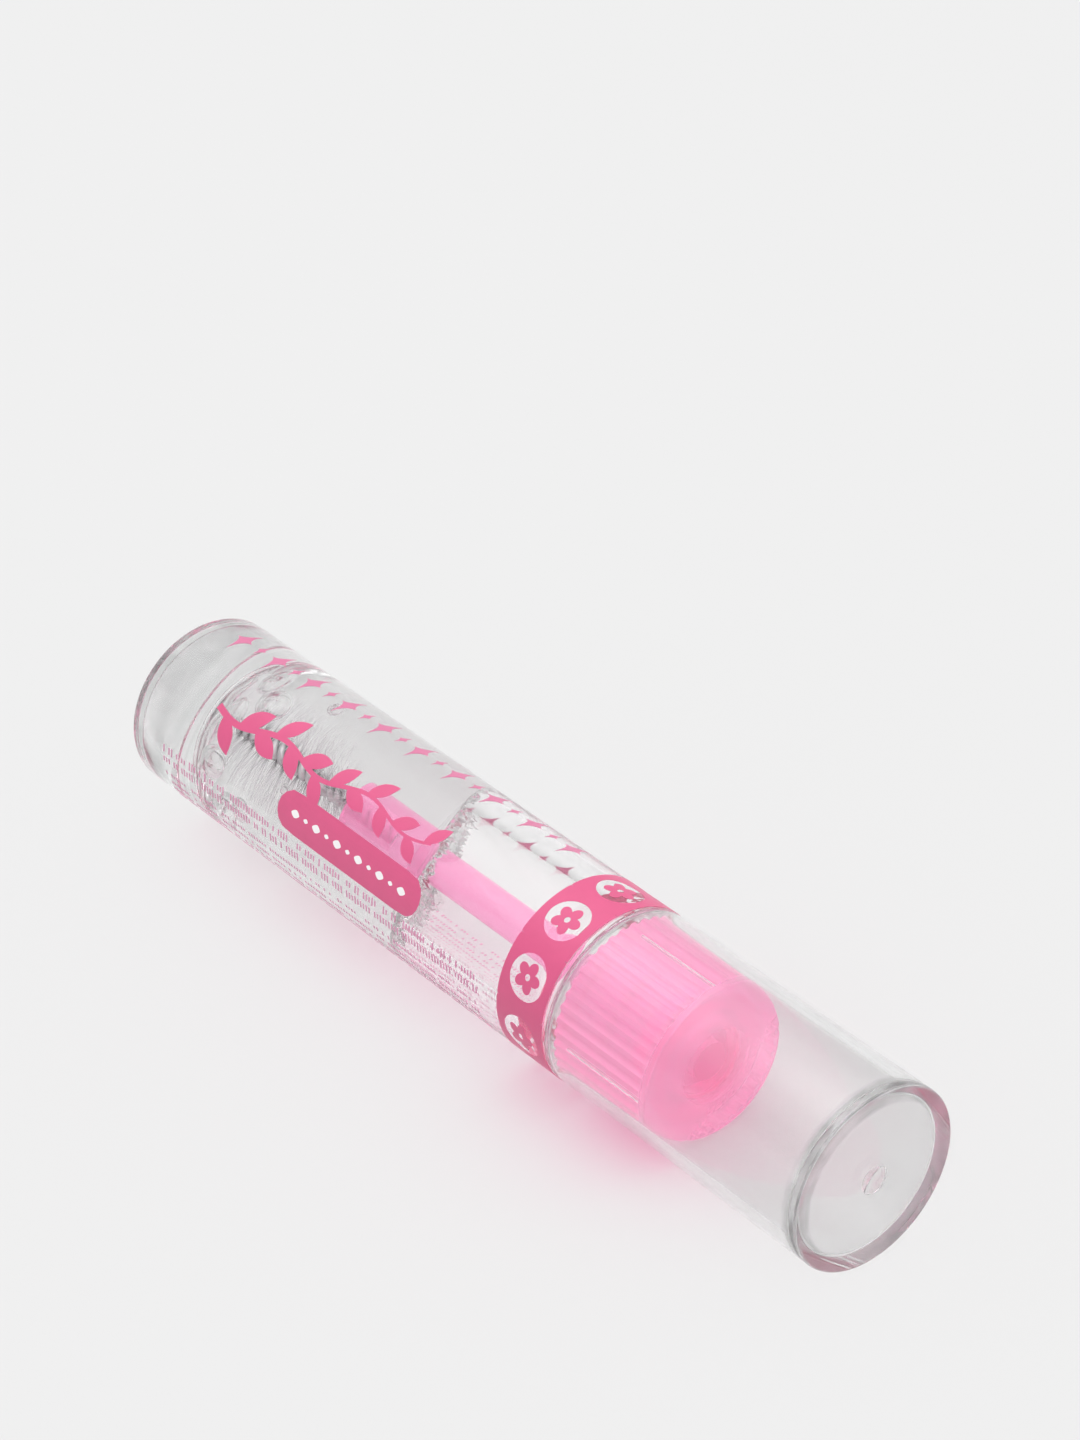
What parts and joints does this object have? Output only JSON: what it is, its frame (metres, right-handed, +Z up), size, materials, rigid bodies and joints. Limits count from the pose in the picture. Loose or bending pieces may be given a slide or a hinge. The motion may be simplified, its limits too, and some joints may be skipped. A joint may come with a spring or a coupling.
{
  "type": "mascara tube",
  "caption": "Clear mascara tube lying on its side: heavy-walled bottle with gel, screw cap with a fluted insert, stem and twisted-wire brush.",
  "frame": {"origin": "below the middle of the closed tube, on the surface that it lies on", "axes": "+X along the tube from the bottle's base to the cap's end, +Z up, +Y to the left looking along +X"},
  "size_m": [0.104, 0.0196, 0.0196],
  "materials": {
    "clear_plastic": "clear, polished",
    "wiper_plastic": "milky, soft",
    "gel": "clear, wet",
    "pink_ink": "screen-printed ink, satin",
    "pink_plastic": "translucent, glossy",
    "wire_steel": "drawn wire",
    "bristle_fibre": "fine nylon fibre"
  },
  "bodies": {
    "bottle": {"bottle": "clear_plastic", "neck_wiper": "wiper_plastic", "printed_band": "pink_ink", "printed_panel": "pink_ink"},
    "gel": {"gel_fill": "gel"},
    "wand": {"brush_stem": "pink_plastic", "twisted_wire": "wire_steel", "bristles": "bristle_fibre"},
    "cap": {"cap_insert": "pink_plastic", "overcap": "clear_plastic"}
  },
  "joints": [
    {"name": "cap_rise", "type": "slide", "parent": "bottle", "child": "gel", "axis": [1, 0, 0], "range_m": [0, 0.00376]},
    {"name": "wand_draw", "type": "slide", "parent": "gel", "child": "wand", "axis": [1, 0, 0], "range_m": [0, 0.07], "deforming": ["gel_fill", "bristles"]},
    {"name": "cap_turn", "type": "hinge", "parent": "wand", "child": "cap", "pos_m": [0, 0, 0.00978], "axis": [1, 0, 0], "range_deg": [0, 450]}
  ],
  "couplings": [
    {"joint": "cap_rise", "follows": "cap_turn", "m_per_rad": 0.00047746}
  ]
}
